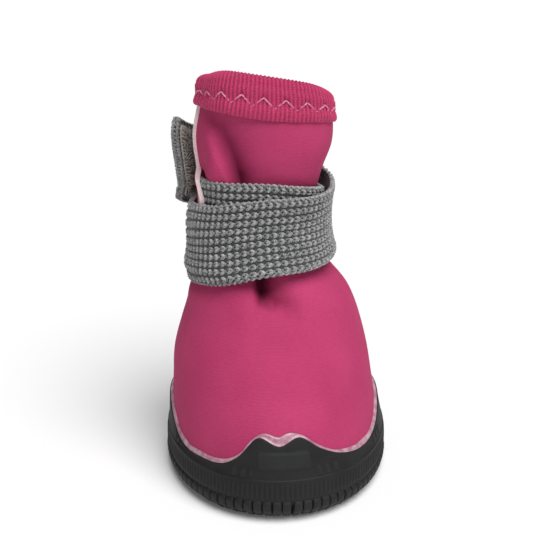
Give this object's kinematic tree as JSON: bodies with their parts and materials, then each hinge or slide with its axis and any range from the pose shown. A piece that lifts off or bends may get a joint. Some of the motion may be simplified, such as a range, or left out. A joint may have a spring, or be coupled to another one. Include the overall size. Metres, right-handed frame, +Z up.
{
  "type": "dog bootie",
  "caption": "Soft dog boot: a neoprene sock in a lugged rubber cup, with a knit elastic strap wound round the ankle and a hook tape end.",
  "frame": {"origin": "on the floor, under the middle of the sole", "axes": "+Z up the shaft, -Y towards the toe, +X to the boot's right side as seen from the toe"},
  "size_m": [0.0682, 0.0876, 0.1202],
  "materials": {
    "sole_rubber": "moulded, matt",
    "neoprene": "foam rubber faced with fine pink jersey",
    "insole_board": "foam board with a matt cloth face",
    "binding_tape": "rib-knit tape, pink",
    "knit_elastic": "heavy knit elastic, grey",
    "hook_tape": "stiff hooks, dark grey"
  },
  "bodies": {
    "root": {"outsole": "sole_rubber", "upper": "neoprene", "insole": "insole_board", "collar_binding": "binding_tape", "strap": "knit_elastic", "hook_patch": "hook_tape"}
  },
  "joints": []
}
